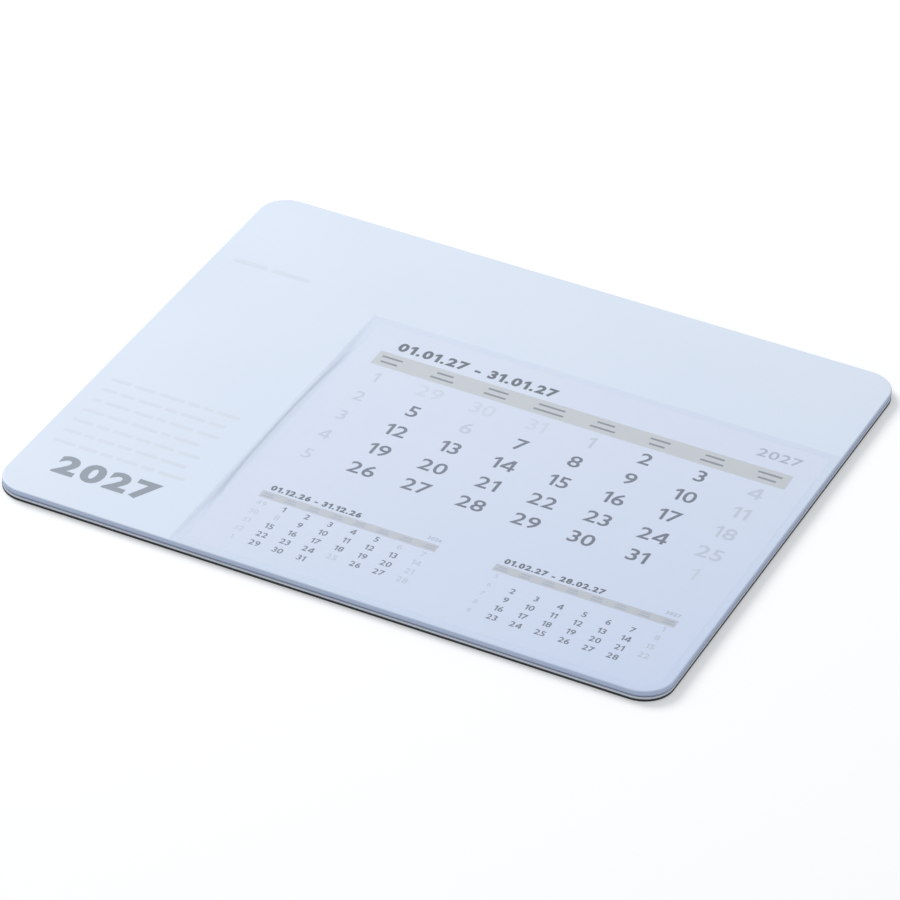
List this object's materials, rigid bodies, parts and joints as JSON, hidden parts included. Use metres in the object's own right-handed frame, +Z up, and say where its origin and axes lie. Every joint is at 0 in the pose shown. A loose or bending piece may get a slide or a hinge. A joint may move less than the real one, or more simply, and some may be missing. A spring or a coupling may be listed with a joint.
{
  "type": "desk mat calendar",
  "caption": "Flat mouse-mat desk calendar: black non-slip base, pale rounded foam body, printed face and a clear side-opening pocket that holds a stack of monthly calendar sheets.",
  "frame": {"origin": "middle of the underside, on the surface that the mat lies on", "axes": "+X to the right along the long side, +Y to the back edge, +Z up out of the printed face"},
  "size_m": [0.235, 0.1976, 0.0051],
  "materials": {
    "base_rubber": "matt black moulded non-slip rubber",
    "backing_white": "thin white backing sheet",
    "foam_body": "pale soft foam",
    "printed_face": "satin printed face with a bluish white ground",
    "sheet_paper": "smooth white printed paper",
    "clear_film": "clear satin film"
  },
  "bodies": {
    "root": {"base_pad": "base_rubber", "backing_sheet": "backing_white", "mat_body": "foam_body", "face_sheet": "printed_face", "month_sheet_01": "sheet_paper", "month_sheet_02": "sheet_paper", "month_sheet_03": "sheet_paper", "month_sheet_04": "sheet_paper", "month_sheet_05": "sheet_paper", "month_sheet_06": "sheet_paper", "month_sheet_07": "sheet_paper", "month_sheet_08": "sheet_paper", "month_sheet_09": "sheet_paper", "month_sheet_10": "sheet_paper", "month_sheet_11": "sheet_paper", "month_sheet_12": "sheet_paper", "pocket_film": "clear_film"}
  },
  "joints": []
}
